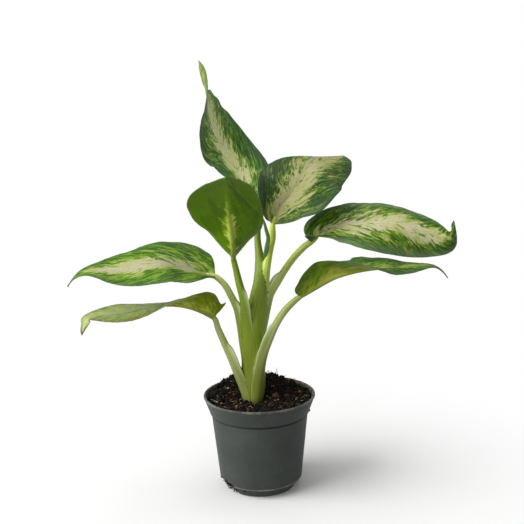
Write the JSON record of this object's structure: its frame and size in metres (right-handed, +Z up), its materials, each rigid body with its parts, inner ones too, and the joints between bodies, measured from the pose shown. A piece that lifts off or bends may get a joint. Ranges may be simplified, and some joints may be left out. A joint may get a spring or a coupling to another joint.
{
  "type": "potted dieffenbachia",
  "caption": "Young variegated dieffenbachia with broad cream-and-green leaves on sheathed stalks, growing in a small tapered plastic nursery pot of peat.",
  "frame": {"origin": "centre of the pot's underside, on the surface it stands on", "axes": "+Z up along the pot's axis; -Y is the front of the plant, the side the front leaf leans to; +X is the right seen from the front"},
  "size_m": [0.2051, 0.1307, 0.2276],
  "materials": {
    "pot_plastic": "matte",
    "peat": "matte",
    "perlite": "matte",
    "root_flesh": "matte",
    "stem_flesh": "satin",
    "petiole_flesh": "satin",
    "leaf_blade": "satin",
    "new_leaf": "satin"
  },
  "bodies": {
    "root": {"pot": "pot_plastic", "soil": "peat", "perlite_chip": "perlite", "roots": "root_flesh", "stem": "stem_flesh", "new_leaf_spear": "new_leaf", "petiole_top": "petiole_flesh", "petiole_front": "petiole_flesh", "petiole_upper_right": "petiole_flesh", "petiole_right": "petiole_flesh", "petiole_lower_right": "petiole_flesh", "petiole_left": "petiole_flesh", "petiole_lower_left": "petiole_flesh", "leaf_top": "leaf_blade", "leaf_front": "leaf_blade", "leaf_upper_right": "leaf_blade", "leaf_right": "leaf_blade", "leaf_lower_right": "leaf_blade", "leaf_left": "leaf_blade", "leaf_lower_left": "leaf_blade"}
  },
  "joints": []
}
